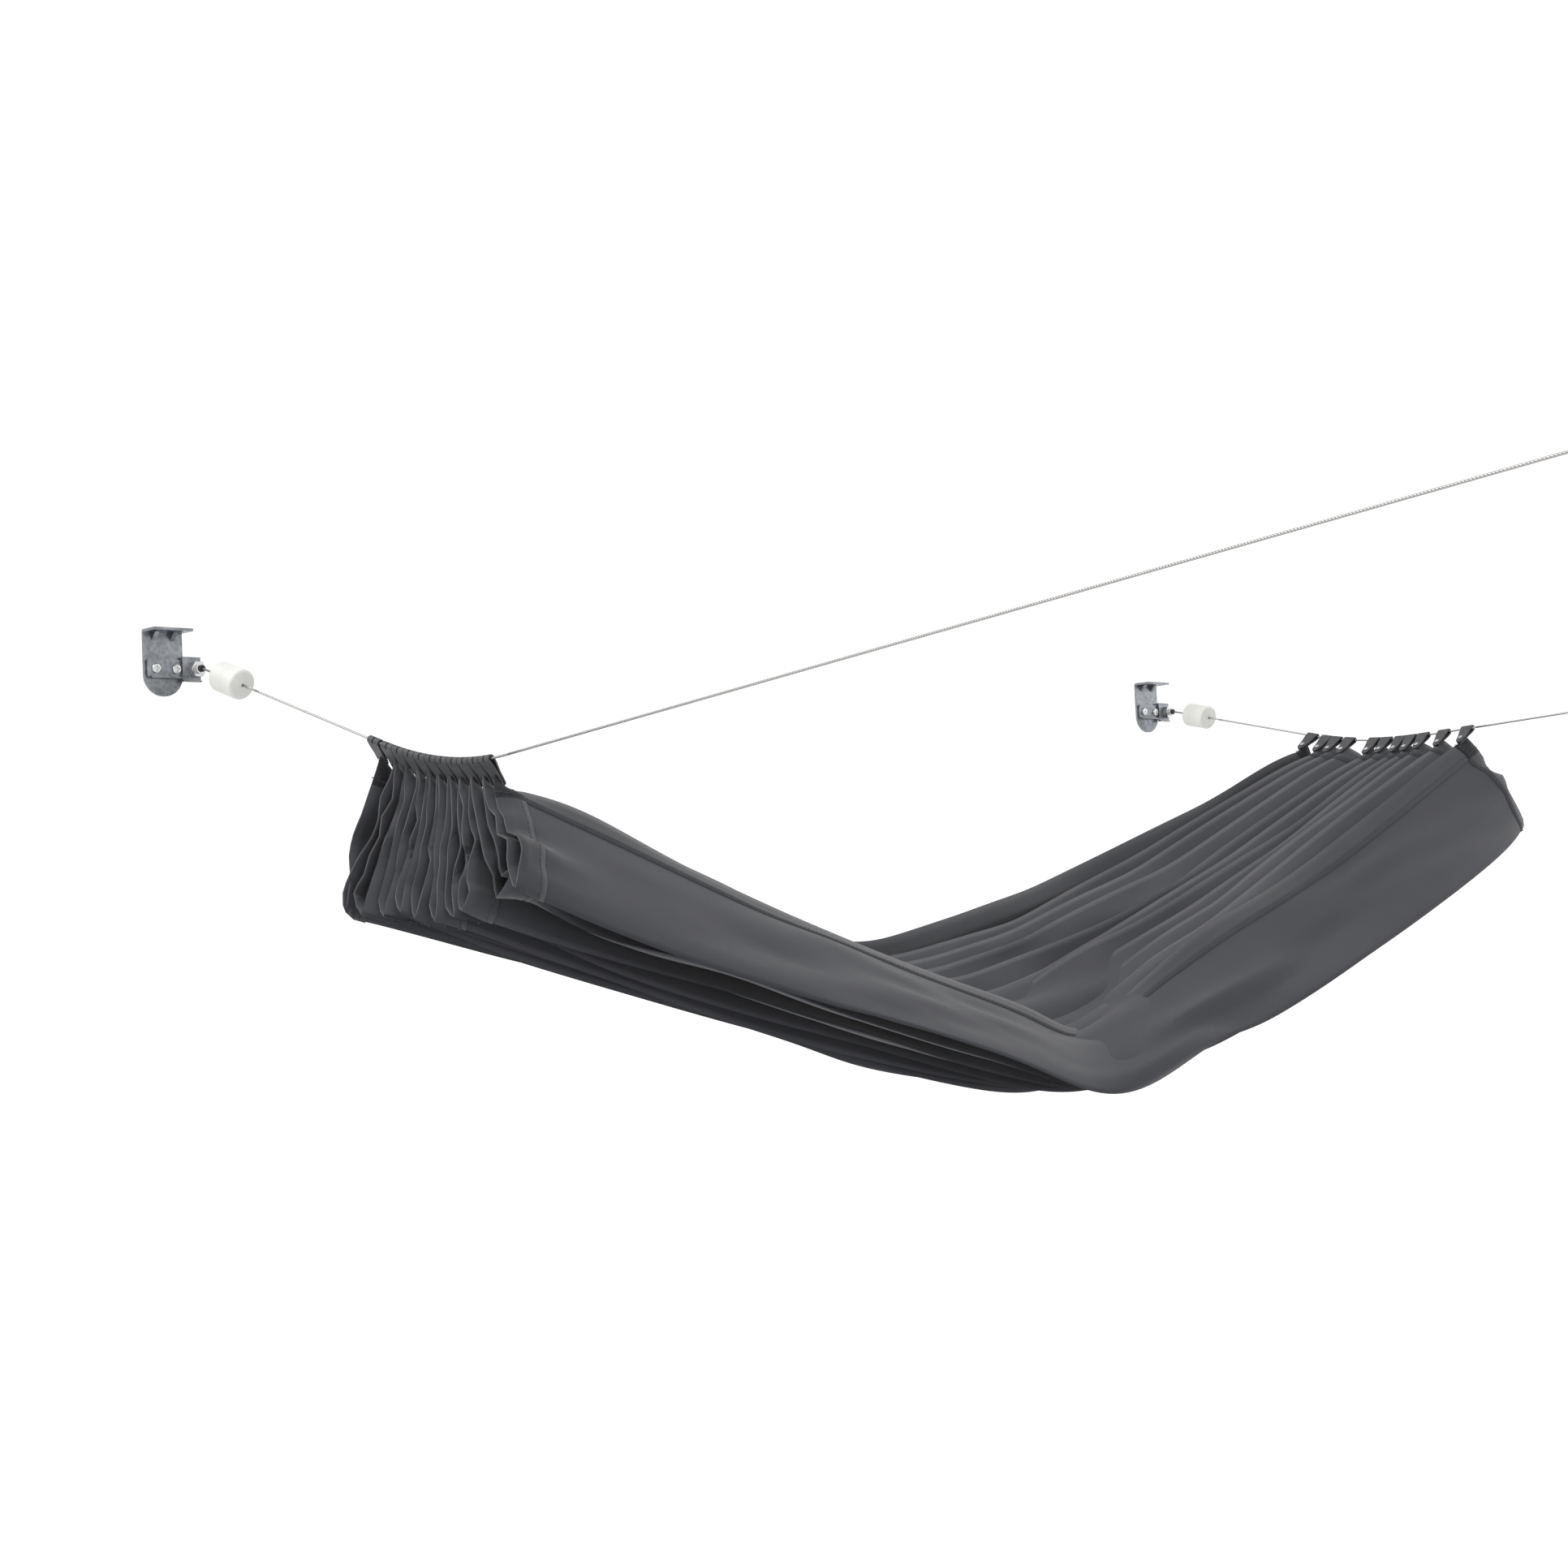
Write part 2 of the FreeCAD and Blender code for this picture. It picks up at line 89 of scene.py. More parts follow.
def makeStudio(s):
    world = bpy.data.worlds.new("studio")
    world.use_nodes = True
    sky = world.node_tree.nodes["Background"].inputs
    sky["Color"].default_value = (1, 1, 1, 1)
    sky["Strength"].default_value = s["world"]
    bpy.context.scene.world = world
    for name in ("key", "fill"):
        lamp = bpy.data.lights.new(name, "AREA")
        lamp.size = s[name]["size"]
        lamp.energy = s[name]["power"]
        light = bpy.data.objects.new(name, lamp)
        light.location = s[name]["place"]
        aim = Vector(s["aim"]) - light.location
        light.rotation_euler = aim.to_track_quat("-Z", "Y").to_euler()
        bpy.context.scene.collection.objects.link(light)
    mesh = bpy.data.meshes.new("floor")
    half = s["floorSize"] / 2
    mesh.from_pydata([(-half, -half, s["floorLevel"]), (half, -half, s["floorLevel"]),
                      (half, half, s["floorLevel"]), (-half, half, s["floorLevel"])], [], [(0, 1, 2, 3)])
    floor = bpy.data.objects.new("floor", mesh)
    bpy.context.scene.collection.objects.link(floor)
    paint = bpy.data.materials.new("floorPaint")
    paint.use_nodes = True
    tone = s["floorTone"]
    coat = paint.node_tree.nodes["Principled BSDF"].inputs
    coat["Base Color"].default_value = (tone, tone, tone, 1)
    coat["Roughness"].default_value = s["floorRoughness"]
    mesh.materials.append(paint)


makeCamera(view)
makeStudio(studio)
bpy.context.scene.view_settings.view_transform = "Standard"
print("camera and studio ready")


# materials
def newMaterial(name, settings):
    material = bpy.data.materials.new(name)
    material.use_nodes = True
    tree = material.node_tree
    shader = tree.nodes["Principled BSDF"]
    for socket, value in settings.items():
        shader.inputs[socket].default_value = value
    return material, tree, shader


def mixTones(tree, factor, low, high, start=0.3, end=0.7):
    ramp = tree.nodes.new("ShaderNodeValToRGB")
    ramp.color_ramp.elements[0].position = start
    ramp.color_ramp.elements[1].position = end
    ramp.color_ramp.elements[0].color = (*low, 1)
    ramp.color_ramp.elements[1].color = (*high, 1)
    tree.links.new(factor, ramp.inputs["Fac"])
    return ramp.outputs["Color"]


def addBump(tree, shader, height, strength, distance):
    bump = tree.nodes.new("ShaderNodeBump")
    bump.inputs["Strength"].default_value = strength
    bump.inputs["Distance"].default_value = distance
    tree.links.new(height, bump.inputs["Height"])
    tree.links.new(bump.outputs["Normal"], shader.inputs["Normal"])


def scaled(tree, scale=(1, 1, 1), source="Object"):
    where = tree.nodes.new("ShaderNodeTexCoord")
    mapping = tree.nodes.new("ShaderNodeMapping")
    mapping.inputs["Scale"].default_value = scale
    tree.links.new(where.outputs[source], mapping.inputs["Vector"])
    return mapping.outputs["Vector"]


def noise(tree, vector, scale, detail=3.0, roughness=0.5):
    node = tree.nodes.new("ShaderNodeTexNoise")
    node.inputs["Scale"].default_value = scale
    node.inputs["Detail"].default_value = detail
    node.inputs["Roughness"].default_value = roughness
    tree.links.new(vector, node.inputs["Vector"])
    return node.outputs["Fac"]


# the cloth: yarn is in metres, and perYarn fits one band of the wave to one yarn
fabricLook = {"roughness": 0.82, "sheen": 0.18, "sheenRoughness": 0.45, "specular": 0.28,
              "patches": 5.0, "lint": 60.0, "detail": 4, "bump": 0.25, "relief": 0.0006,
              "yarn": 0.0006, "perYarn": 0.31, "distortion": 0.6, "detailScale": 0.5}


def weaveHeight(tree, look):
    # two crossed sets of yarns along the cloth's own UV, in metres
    bands = look["perYarn"] / look["yarn"]
    total = None
    for axis in ("X", "Y"):
        wave = tree.nodes.new("ShaderNodeTexWave")
        wave.bands_direction = axis
        wave.inputs["Scale"].default_value = 1.0
        wave.inputs["Distortion"].default_value = look["distortion"]
        wave.inputs["Detail Scale"].default_value = look["detailScale"]
        tree.links.new(scaled(tree, (bands, bands, 1), "UV"), wave.inputs["Vector"])
        if total is None:
            total = wave.outputs["Fac"]
        else:
            product = tree.nodes.new("ShaderNodeMath")
            product.operation = "MULTIPLY"
            tree.links.new(total, product.inputs[0])
            tree.links.new(wave.outputs["Fac"], product.inputs[1])
            total = product.outputs[0]
    return total


def sailFabric(name, low, high):
    look = fabricLook
    material, tree, shader = newMaterial(name, {
        "Roughness": look["roughness"], "Sheen Weight": look["sheen"],
        "Sheen Roughness": look["sheenRoughness"], "Specular IOR Level": look["specular"]})
    broad = noise(tree, scaled(tree, source="UV"), look["patches"], look["detail"])
    tree.links.new(mixTones(tree, broad, low, high), shader.inputs["Base Color"])
    fine = noise(tree, scaled(tree, source="UV"), look["lint"], look["detail"])
    weave = weaveHeight(tree, look)
    both = tree.nodes.new("ShaderNodeMath")
    both.operation = "ADD"
    tree.links.new(weave, both.inputs[0])
    tree.links.new(fine, both.inputs[1])
    addBump(tree, shader, both.outputs[0], look["bump"], look["relief"])
    return material


# zinc: crystals and clouds, a little smoother and rougher from place to place
zincLook = {"spangles": 260.0, "clouds": 90.0, "detail": 5, "cloudShare": 0.6, "ramp": (0.2, 0.75),
            "smoother": 0.09, "rougher": 0.1, "bump": 0.12, "relief": 0.0004}


def zincFinish(name, low, high, roughness):
    look = zincLook
    material, tree, shader = newMaterial(name, {"Metallic": 1.0, "Roughness": roughness})
    spangle = tree.nodes.new("ShaderNodeTexVoronoi")
    spangle.inputs["Scale"].default_value = look["spangles"]
    tree.links.new(scaled(tree), spangle.inputs["Vector"])
    cloudy = noise(tree, scaled(tree), look["clouds"], look["detail"])
    blend = tree.nodes.new("ShaderNodeMix")
    blend.inputs["Factor"].default_value = look["cloudShare"]
    tree.links.new(spangle.outputs["Distance"], blend.inputs["A"])
    tree.links.new(cloudy, blend.inputs["B"])
    tones = mixTones(tree, blend.outputs["Result"], low, high, *look["ramp"])
    tree.links.new(tones, shader.inputs["Base Color"])
    wear = tree.nodes.new("ShaderNodeMapRange")
    wear.inputs["To Min"].default_value = roughness - look["smoother"]
    wear.inputs["To Max"].default_value = roughness + look["rougher"]
    tree.links.new(cloudy, wear.inputs["Value"])
    tree.links.new(wear.outputs["Result"], shader.inputs["Roughness"])
    addBump(tree, shader, cloudy, look["bump"], look["relief"])
    return material


# moulded pieces: a mottled colour under a fine grain
plasticLook = {"specular": 0.4, "mottle": 120.0, "mottleDetail": 4, "grain": 1400.0, "grainDetail": 2,
               "bump": 0.3, "relief": 0.0002}
rubberLook = {"specular": 0.45, "mottle": 45.0, "mottleDetail": 4, "grain": 500.0, "grainDetail": 3,
              "bump": 0.15, "relief": 0.0003}


def moulded(name, low, high, roughness, look):
    material, tree, shader = newMaterial(name, {"Roughness": roughness,
                                                "Specular IOR Level": look["specular"]})
    mottled = noise(tree, scaled(tree), look["mottle"], look["mottleDetail"])
    tree.links.new(mixTones(tree, mottled, low, high), shader.inputs["Base Color"])
    grain = noise(tree, scaled(tree), look["grain"], look["grainDetail"])
    addBump(tree, shader, grain, look["bump"], look["relief"])
    return material


strandLook = {"roughness": 0.38, "scale": (1.9, 260.0, 1), "low": (0.27, 0.265, 0.26),
              "high": (0.42, 0.41, 0.40), "ramp": (0.1, 0.8), "bump": 0.5, "relief": 0.0003}


def strandedWire(name, look):
    # strands wind round the wire: the UV runs once round it and along it in metres
    material, tree, shader = newMaterial(name, {"Metallic": 1.0, "Roughness": look["roughness"]})
    wave = tree.nodes.new("ShaderNodeTexWave")
    wave.bands_direction = "DIAGONAL"
    wave.inputs["Scale"].default_value = 1.0
    tree.links.new(scaled(tree, look["scale"], "UV"), wave.inputs["Vector"])
    tones = mixTones(tree, wave.outputs["Fac"], look["low"], look["high"], *look["ramp"])
    tree.links.new(tones, shader.inputs["Base Color"])
    addBump(tree, shader, wave.outputs["Fac"], look["bump"], look["relief"])
    return material


sheetZinc = zincFinish("sheetZinc", (0.13, 0.14, 0.15), (0.30, 0.31, 0.33), 0.3)
brightZinc = zincFinish("brightZinc", (0.42, 0.42, 0.43), (0.70, 0.70, 0.70), 0.22)
screwZinc = zincFinish("screwZinc", (0.45, 0.46, 0.47), (0.75, 0.75, 0.75), 0.22)
rivetMetal = zincFinish("rivetMetal", (0.32, 0.32, 0.33), (0.55, 0.55, 0.56), 0.25)
runnerPlastic = moulded("runnerPlastic", (0.030, 0.031, 0.035), (0.046, 0.047, 0.052), 0.5, plasticLook)
sleevePlastic = moulded("sleevePlastic", (0.008, 0.008, 0.008), (0.02, 0.02, 0.02), 0.45, plasticLook)
bumperRubber = moulded("bumperRubber", (0.50, 0.50, 0.475), (0.58, 0.58, 0.555), 0.42, rubberLook)
wireSteel = strandedWire("wireSteel", strandLook)
sailCloth = sailFabric("sailCloth", (0.029, 0.030, 0.036), (0.038, 0.039, 0.046))
hemCloth = sailFabric("hemCloth", (0.031, 0.032, 0.037), (0.042, 0.043, 0.049))
threadLook = dict(plasticLook, grain=3000.0)
threadMaterial = moulded("hemThread", (0.030, 0.031, 0.036), (0.05, 0.05, 0.056), 0.7, threadLook)

# each node takes the first finish whose key starts its name
finishes = {"bracket": sheetZinc, "tension_plate": sheetZinc, "plate_screws": screwZinc,
            "tension_stud": brightZinc, "tension_nut": brightZinc, "stud_sleeve": sleevePlastic,
            "bumper": bumperRubber, "runner_rivets": rivetMetal, "runner": runnerPlastic}
for name, node in nodes.items():
    for start, finish in finishes.items():
        if name.startswith(start):
            node.data.materials.clear()
            node.data.materials.append(finish)
            break
print("materials on the CAD nodes")


# geometry nodes: stitches along a line
stitching = {"spacing": 0.0045, "length": 0.0030, "radius": 0.00045, "sides": 5, "smallest": 0.85,
             "largest": 1.1, "seed": 4}


def socketId(tree, name):
    for item in tree.interface.items_tree:
        if item.item_type == "SOCKET" and item.in_out == "INPUT" and item.name == name:
            return item.identifier
    raise KeyError(name)


def stitchTree(s):
    tree = bpy.data.node_groups.new("stitchesAlongLine", "GeometryNodeTree")
    for name, kind in (("Line", "NodeSocketGeometry"), ("Spacing", "NodeSocketFloat"),
                       ("Length", "NodeSocketFloat"), ("Radius", "NodeSocketFloat"),
                       ("Thread", "NodeSocketMaterial"), ("Seed", "NodeSocketInt")):
        tree.interface.new_socket(name, in_out="INPUT", socket_type=kind)
    tree.interface.new_socket("Stitches", in_out="OUTPUT", socket_type="NodeSocketGeometry")
    start = tree.nodes.new("NodeGroupInput")
    end = tree.nodes.new("NodeGroupOutput")
    curve = tree.nodes.new("GeometryNodeMeshToCurve")
    resample = tree.nodes.new("GeometryNodeResampleCurve")
    resample.mode = "LENGTH"
    stitch = tree.nodes.new("GeometryNodeMeshCylinder")
    stitch.inputs["Vertices"].default_value = s["sides"]
    tangent = tree.nodes.new("GeometryNodeInputTangent")
    align = tree.nodes.new("FunctionNodeAlignRotationToVector")
    align.axis = "Z"
    jitter = tree.nodes.new("FunctionNodeRandomValue")
    jitter.inputs[2].default_value = s["smallest"]
    jitter.inputs[3].default_value = s["largest"]
    instance = tree.nodes.new("GeometryNodeInstanceOnPoints")
    realize = tree.nodes.new("GeometryNodeRealizeInstances")
    paint = tree.nodes.new("GeometryNodeSetMaterial")
    link = tree.links.new
    link(start.outputs["Line"], curve.inputs["Mesh"])
    link(curve.outputs["Curve"], resample.inputs["Curve"])
    link(start.outputs["Spacing"], resample.inputs["Length"])
    link(start.outputs["Length"], stitch.inputs["Depth"])
    link(start.outputs["Radius"], stitch.inputs["Radius"])
    link(tangent.outputs["Tangent"], align.inputs["Vector"])
    link(resample.outputs["Curve"], instance.inputs["Points"])
    link(stitch.outputs["Mesh"], instance.inputs["Instance"])
    link(align.outputs["Rotation"], instance.inputs["Rotation"])
    link(start.outputs["Seed"], jitter.inputs["Seed"])
    link(jitter.outputs[1], instance.inputs["Scale"])
    link(instance.outputs["Instances"], realize.inputs["Geometry"])
    link(realize.outputs["Geometry"], paint.inputs["Geometry"])
    link(start.outputs["Thread"], paint.inputs["Material"])
    link(paint.outputs["Geometry"], end.inputs["Stitches"])
    return tree


def runTree(name, tree, mesh, values):
    source = bpy.data.objects.new(name + "Source", mesh)
    bpy.context.scene.collection.objects.link(source)
    modifier = source.modifiers.new("nodes", "NODES")
    modifier.node_group = tree
    for key, value in values.items():
        modifier[socketId(tree, key)] = value
    bpy.context.view_layer.update()
    graph = bpy.context.evaluated_depsgraph_get()
    result = bpy.data.meshes.new_from_object(source.evaluated_get(graph))
    bpy.data.objects.remove(source)
    piece = bpy.data.objects.new(name, result)
    bpy.context.scene.collection.objects.link(piece)
    return piece


def addPiece(name, mesh, material):
    piece = bpy.data.objects.new(name, mesh)
    bpy.context.scene.collection.objects.link(piece)
    mesh.materials.append(material)
    for face in mesh.polygons:
        face.use_smooth = True
    return piece


def faceOutward(mesh):
    work = bmesh.new()
    work.from_mesh(mesh)
    bmesh.ops.recalc_face_normals(work, faces=work.faces)
    work.to_mesh(mesh)
    work.free()


# wires: straight runs with one arc where the sail's weight bends them
wireLook = {"radius": 0.001, "sides": 10, "tilt": 0.335, "spacing": 1.32, "halfSpan": 0.869,
            "line": -0.034, "endArc": 0.004, "inside": 0.0085, "held": 0.072, "travel": 1.1,
            "pastRunner": 0.004, "leastShare": 0.003, "shortSteps": 6, "bendSteps": 40,
            "nearSteps": 30, "farSteps": 60, "lastRunner": 11}
wireBends = {"left": {"side": -1, "bend": 0.3028, "drop": 0.1203, "tangent": 0.080},
             "right": {"side": 1, "bend": 0.2859, "drop": 0.0691, "tangent": 0.075}}


def wirePoint(bend, s, d):
    scale = math.hypot(wireLook["tilt"], 1)
    return Vector((bend["side"] * (wireLook["spacing"] / 2 - wireLook["tilt"] / scale * d),
                   wireLook["halfSpan"] - s, wireLook["line"] - d / scale))


def cornerArc(before, corner, after, tangent, count):
    first = (before - corner).normalized()
    second = (after - corner).normalized()
    half = first.angle(second) / 2
    inward = (first + second).normalized()
    radius = tangent * math.tan(half)
    centre = corner + inward * (tangent / math.cos(half))
    sweep = math.pi - 2 * half
    side = (first - second).normalized()
    points = []
    for i in range(count + 1):
        angle = sweep / 2 - sweep * i / count
        points.append(centre + (-inward * math.cos(angle) + side * math.sin(angle)) * radius)
    return points


def straight(start, end, count):
    return [start.lerp(end, i / count) for i in range(count + 1)]


def tubeMesh(name, points, radius, sides):
    mesh = bpy.data.meshes.new(name)
    verts = []
    faces = []
    lengths = []
    length = 0.0
    for i, point in enumerate(points):
        before = points[max(i - 1, 0)]
        after = points[min(i + 1, len(points) - 1)]
        way = (after - before).normalized()
        across = way.cross(Vector((0, 0, 1))).normalized()
        up = across.cross(way)
        if i:
            length += (point - points[i - 1]).length
        lengths.append(length)
        for k in range(sides):
            angle = 2 * math.pi * k / sides
            verts.append(point + (across * math.cos(angle) + up * math.sin(angle)) * radius)
    for i in range(len(points) - 1):
        for k in range(sides):
            a, b = i * sides + k, i * sides + (k + 1) % sides
            faces.append((a, a + sides, b + sides, b))
    faces.append(tuple(range(sides)))
    faces.append(tuple(reversed(range((len(points) - 1) * sides, len(points) * sides))))
    mesh.from_pydata(verts, [], faces)
    layer = mesh.uv_layers.new(name="along")
    for face in mesh.polygons:
        closes = any(mesh.loops[loop].vertex_index % sides == sides - 1 for loop in face.loop_indices)
        for loop in face.loop_indices:
            ring, k = divmod(mesh.loops[loop].vertex_index, sides)
            turn = 1.0 if k == 0 and closes else k / sides
            layer.data[loop].uv = (turn, lengths[ring])
    faceOutward(mesh)
    return mesh


def makeWire(side, bend):
    length = 2 * wireLook["halfSpan"]
    inside = wireLook["inside"]
    few = wireLook["shortSteps"]
    a, b = wirePoint(bend, -inside, 0), wirePoint(bend, 0, 0)
    c = wirePoint(bend, bend["bend"], bend["drop"])
    d, e = wirePoint(bend, length, 0), wirePoint(bend, length + inside, 0)
    first = cornerArc(a, b, c, wireLook["endArc"], few)
    middle = cornerArc(b, c, d, bend["tangent"], wireLook["bendSteps"])
    last = cornerArc(c, d, e, wireLook["endArc"], few)
    # the stretch through each bumper keeps its place, and the run beyond it follows the sail
    nearHeld = first[-1] + (middle[0] - first[-1]).normalized() * wireLook["held"]
    farHeld = last[0] + (middle[-1] - last[0]).normalized() * wireLook["held"]
    # the sail carries the wire to just past its last runner, or a little past the bend
    lastRunner = f"runner_{side}_{wireLook['lastRunner']:02d}"
    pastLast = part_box(lastRunner)[0][1] - wireLook["pastRunner"]
    share = max((middle[-1].y - pastLast) / (middle[-1].y - last[0].y), wireLook["leastShare"])
    carried = middle[-1].lerp(last[0], share)
    pieces = {"NearEnd": [a] + first + straight(first[-1], nearHeld, few)[1:],
              "Near": straight(nearHeld, middle[0], wireLook["nearSteps"]),
              "Middle": middle + straight(middle[-1], carried, few)[1:],
              "Far": straight(carried, farHeld, wireLook["farSteps"]),
              "FarEnd": straight(farHeld, last[0], few) + last[1:] + [e]}
    for part, points in pieces.items():
        mesh = tubeMesh(f"wire{part}_{side}", points, wireLook["radius"], wireLook["sides"])
        piece = addPiece(f"wire{part}_{side}", mesh, wireSteel)
        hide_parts(f"wire_{side}")
        if part == "Middle":
            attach(piece, "sail")
        elif part == "Near":
            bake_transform(piece)
        else:
            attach(piece, "frame")
        if part == "Far":
            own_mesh(piece)


for side, bend in wireBends.items():
    makeWire(side, bend)
print("wires made")

# the sail: one flat sheet, folded into pleats, pinned in its runners and left to hang
sail = {"width": 1.42, "length": 2.65, "across": 84, "perPanel": 8, "panels": 20, "frames": 20,
        "nearSag": 0.215, "farSag": 0.295, "nearLow": 0.42, "farLow": 0.475, "sharpness": 1.1,
        "foldLow": 0.44, "foldSag": 0.240, "foldSharpness": 0.95, "foldEase": 0.5, "leastFold": 0.012,
        "clampAhead": 0.007, "clampBehind": 0.0097, "rivetMargin": 0.0015, "smoothing": 10,
        "left": {"dip": 54.0, "drop": 0.118, "lean": 0.040, "way": 1},
        "right": {"dip": 38.0, "drop": 0.098, "lean": 0.078, "way": -1}}


def rivetCentres(s):
    # each runner's rivet is the part of the rivet node inside that runner's box
    cloud = np.array([v.co[:] for v in nodes["runner_rivets"].data.vertices])
    found = {}
    for side in ("left", "right"):
        found[side] = []
        for number in range(1, s["panels"] // 2 + 2):
            low, high = (np.array(corner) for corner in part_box(f"runner_{side}_{number:02d}"))
            inside = ((cloud > low - s["rivetMargin"]) & (cloud < high + s["rivetMargin"])).all(axis=1)
            found[side].append(Vector(cloud[inside].mean(axis=0)))
    return found


def fromLowest(u, lowest):
    # 0 at the lowest point of a sagging line and 1 at either end of it
    return (lowest - u) / lowest if u < lowest else (u - lowest) / (1 - lowest)


def foldedPlaces(s, rivets):
    # ridges hang from runner to runner, folds lean out at the ends and lie over towards -Y in the middle
    count = s["panels"] // 2 + 1
    panelDepth = s["length"] / s["panels"]
    legs = {}
    for w in ("left", "right"):
        dip = math.radians(s[w]["dip"])
        legs[w] = Vector((s[w]["way"] * math.cos(dip), 0, -math.sin(dip)))
    edge = {w: [r - legs[w] * s["clampAhead"] for r in rivets[w]] for w in legs}
    level = {w: sum(p.z for p in edge[w]) / count - s[w]["drop"] for w in legs}
    places = np.zeros((s["panels"] * s["perPanel"] + 1, s["across"] + 1, 3))
    for j in range(places.shape[0]):
        panel = min(j // s["perPanel"], s["panels"] - 1)
        part = j / s["perPanel"] - panel
        depth = part if panel % 2 == 0 else 1 - part
        ridge = (panel + 1) // 2
        fold = panel // 2
        ridgeSag = s["nearSag"] + (s["farSag"] - s["nearSag"]) * ridge / (count - 1)
        lowest = s["nearLow"] + (s["farLow"] - s["nearLow"]) * ridge / (count - 1)
        ease = s["foldEase"] * (s["farSag"] - s["nearSag"]) * (1 - fold / (count - 2))
        foldSag = s["foldSag"] - ease
        a, b = edge["left"][ridge], edge["right"][ridge]
        low = [(edge[w][fold] + edge[w][fold + 1]) / 2 for w in ("left", "right")]
        for i in range(places.shape[1]):
            u = i / s["across"]
            drop = ridgeSag * (1 - fromLowest(u, lowest) ** s["sharpness"])
            top = Vector((a.x + (b.x - a.x) * u, a.y + (b.y - a.y) * u,
                          a.z + (b.z - a.z) * u - drop))
            x0, x1 = low[0].x - s["left"]["lean"], low[1].x + s["right"]["lean"]
            fall = foldSag * (1 - fromLowest(u, s["foldLow"]) ** s["foldSharpness"])
            height = level["left"] + (level["right"] - level["left"]) * u - fall
            bottom = Vector((x0 + (x1 - x0) * u, low[0].y + (low[1].y - low[0].y) * u,
                             min(height, top.z - s["leastFold"])))
            spare = panelDepth ** 2 - (bottom.x - top.x) ** 2 - (bottom.z - top.z) ** 2
            bottom.y -= math.sqrt(max(spare, 0))
            places[j, i] = top.lerp(bottom, depth)
    for k in range(count):
        j = k * 2 * s["perPanel"]
        for w, ends in (("left", (0, 1)), ("right", (-1, -2))):
            places[j, ends[0]] = edge[w][k]
            places[j, ends[1]] = rivets[w][k] + legs[w] * s["clampBehind"]
    return places


def gridMesh(name, places, s):
    rows, columns = places.shape[:2]
    faces = [(j * columns + i, j * columns + i + 1, (j + 1) * columns + i + 1, (j + 1) * columns + i)
             for j in range(rows - 1) for i in range(columns - 1)]
    mesh = bpy.data.meshes.new(name)
    mesh.from_pydata([tuple(p) for p in places.reshape(-1, 3)], [], faces)
    layer = mesh.uv_layers.new(name="cloth")
    for loop in mesh.loops:
        j, i = divmod(loop.vertex_index, columns)
        layer.data[loop.index].uv = (i / (columns - 1) * s["width"], j / (rows - 1) * s["length"])
    return mesh


# the cloth simulation
hanging = {"quality": 8, "mass": 0.004, "air_damping": 3.0, "tension_stiffness": 30,
           "compression_stiffness": 30, "shear_stiffness": 12, "bending_stiffness": 0.35,
           "tension_damping": 12, "compression_damping": 12, "bending_damping": 1.0}
touching = {"use_collision": False, "use_self_collision": True, "self_distance_min": 0.0016,
            "collision_quality": 2}


def hangSail(s, rivets):
    places = foldedPlaces(s, rivets)
    rows, columns = places.shape[:2]
    flat = np.zeros_like(places)
    flat[:, :, 0] = np.linspace(0, s["width"], columns)[None, :]
    flat[:, :, 1] = np.linspace(0, s["length"], rows)[:, None]
    mesh = gridMesh("sail", flat, s)
    piece = addPiece("sail", mesh, sailCloth)
    piece.shape_key_add(name="flat")
    folded = piece.shape_key_add(name="folded")
    folded.data.foreach_set("co", places.reshape(-1))
    folded.value = 1.0
    pins = piece.vertex_groups.new(name="pins")
    for k in range(s["panels"] // 2 + 1):
        j = k * 2 * s["perPanel"]
        left, right = j * columns, (j + 1) * columns - 1
        pins.add([left, left + 1, right, right - 1], 1.0, "REPLACE")
    cloth = piece.modifiers.new("hang", "CLOTH")
    for key, value in hanging.items():
        setattr(cloth.settings, key, value)
    cloth.settings.vertex_group_mass = "pins"
    cloth.settings.rest_shape_key = piece.data.shape_keys.key_blocks["flat"]
    for key, value in touching.items():
        setattr(cloth.collision_settings, key, value)
    cloth.point_cache.frame_start = 1
    cloth.point_cache.frame_end = s["frames"]
    for step in range(1, s["frames"] + 1):
        bpy.context.scene.frame_set(step)
    graph = bpy.context.evaluated_depsgraph_get()
    hung = piece.evaluated_get(graph).to_mesh()
    places = np.array([v.co[:] for v in hung.vertices]).reshape(places.shape)
    piece.evaluated_get(graph).to_mesh_clear()
    piece.modifiers.remove(cloth)
    piece.shape_key_clear()
    bpy.context.scene.frame_set(1)
    bpy.data.objects.remove(piece)
    return places


def midGrid(places):
    # twice as fine both ways, by a cubic that passes through every point it starts from
    def double(p):
        padded = np.concatenate([2 * p[:1] - p[1:2], p, 2 * p[-1:] - p[-2:-1]])
        between = (-padded[:-3] + 9 * padded[1:-2] + 9 * padded[2:-1] - padded[3:]) / 16
        out = np.zeros((2 * p.shape[0] - 1,) + p.shape[1:])
        out[0::2] = p
        out[1::2] = between
        return out
    return double(double(places).transpose(1, 0, 2)).transpose(1, 0, 2)


def smoothAcross(p, passes):
    # evens out ripples between the two wires and leaves the pinned points where they are
    p = p.copy()
    for step in range(passes):
        p[:, 2:-2] = (p[:, 1:-3] + 2 * p[:, 2:-2] + p[:, 3:-1]) / 4
    return p


coarse = smoothAcross(hangSail(sail, rivetCentres(sail)), sail["smoothing"])
places = midGrid(coarse)
sailPiece = addPiece("sail", gridMesh("sail", places, sail), sailCloth)
print("sail hung")

# hems: a folded band of cloth on both faces along each edge
hem = {"cells": 3, "halfThickness": 0.0009, "threadLift": 0.0001, "seamInset": 0.6}


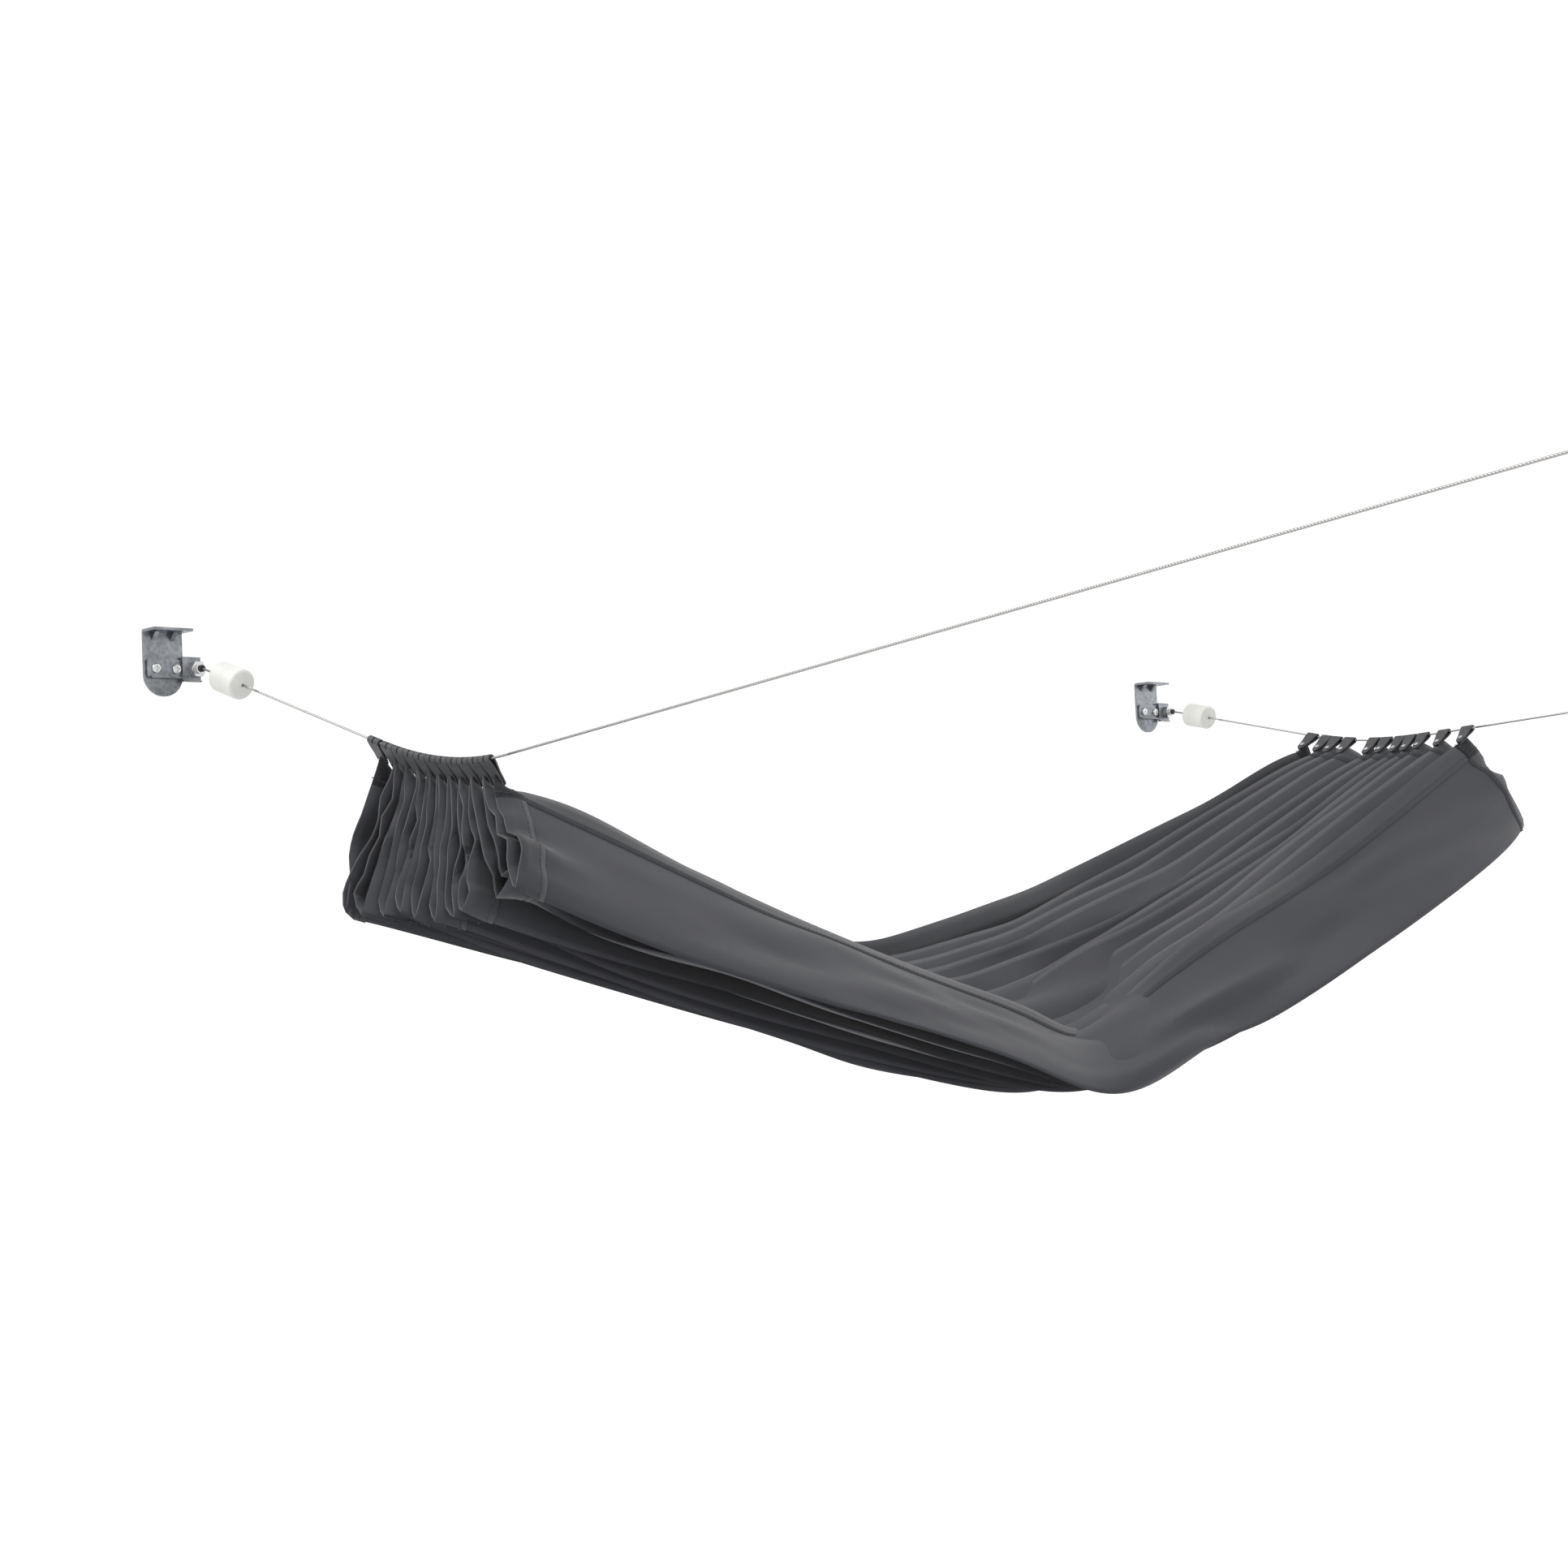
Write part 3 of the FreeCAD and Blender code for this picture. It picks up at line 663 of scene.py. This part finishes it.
def gridNormals(p):
    along = np.gradient(p, axis=1)
    down = np.gradient(p, axis=0)
    normal = np.cross(along, down)
    tiny = 1e-9
    return normal / np.maximum(np.linalg.norm(normal, axis=2, keepdims=True), tiny)


def hemMesh(name, p, normals, uvs, settings):
    rows, columns = p.shape[:2]
    verts = []
    for sign in (1, -1):
        face = p + normals * settings["halfThickness"] * sign
        verts += [tuple(v) for v in face.reshape(-1, 3)]
    size = rows * columns
    faces = []
    for j in range(rows - 1):
        for i in range(columns - 1):
            a = j * columns + i
            quad = (a, a + 1, a + columns + 1, a + columns)
            faces.append(quad)
            faces.append(tuple(size + v for v in reversed(quad)))
    rim = list(range(columns)) + [j * columns + columns - 1 for j in range(1, rows)]
    rim += [(rows - 1) * columns + i for i in range(columns - 2, -1, -1)]
    rim += [j * columns for j in range(rows - 2, 0, -1)]
    for k, a in enumerate(rim):
        b = rim[(k + 1) % len(rim)]
        faces.append((a, size + a, size + b, b))
    mesh = bpy.data.meshes.new(name)
    mesh.from_pydata(verts, [], faces)
    layer = mesh.uv_layers.new(name="cloth")
    flat = uvs.reshape(-1, 2)
    for loop in mesh.loops:
        layer.data[loop.index].uv = tuple(flat[loop.vertex_index % size])
    faceOutward(mesh)
    return mesh


normals = gridNormals(places)
across = np.linspace(0, sail["width"], places.shape[1])
along = np.linspace(0, sail["length"], places.shape[0])
uvs = np.stack(np.meshgrid(across, along), axis=2)
startBand, endBand = slice(0, hem["cells"] + 1), slice(-hem["cells"] - 1, None)
bands = {"hemNear": (startBand, slice(None)), "hemFar": (endBand, slice(None)),
         "hemLeft": (slice(None), startBand), "hemRight": (slice(None), endBand)}
for name, (rows, columns) in bands.items():
    mesh = hemMesh(name, places[rows, columns], normals[rows, columns], uvs[rows, columns], hem)
    piece = addPiece(name, mesh, hemCloth)
    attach(piece, "sail")
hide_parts("end_hem_near")
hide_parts("end_hem_far")
print("hems made")

# stitches: one row on each face of each hem, a part of a cell in from its inner edge
stitches = stitchTree(stitching)
seam = hem["cells"] - hem["seamInset"]
seams = {"stitchesNear": (seam, None), "stitchesFar": (-seam, None),
         "stitchesLeft": (None, seam), "stitchesRight": (None, -seam)}


def alongRow(p, place):
    # a row between two rows of the grid, counted back from the last one when below 0
    index = place if place >= 0 else p.shape[0] - 1 + place
    low = int(math.floor(index))
    part = index - low
    return p[low] * (1 - part) + p[low + 1] * part


for name, (row, column) in seams.items():
    points = []
    edges = []
    for sign in (1, -1):
        lifted = places + normals * (hem["halfThickness"] + hem["threadLift"]) * sign
        if row is not None:
            path = alongRow(lifted, row)
        else:
            path = alongRow(lifted.transpose(1, 0, 2), column)
        first = len(points)
        points += [tuple(p) for p in path]
        edges += [(first + k, first + k + 1) for k in range(len(path) - 1)]
    mesh = bpy.data.meshes.new(name)
    mesh.from_pydata(points, edges, [])
    piece = runTree(name, stitches, mesh, {
        "Spacing": stitching["spacing"], "Length": stitching["length"],
        "Radius": stitching["radius"], "Thread": threadMaterial, "Seed": stitching["seed"]})
    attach(piece, "sail")
print("stitches made")

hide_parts("sail_cloth")
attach(sailPiece, "sail")
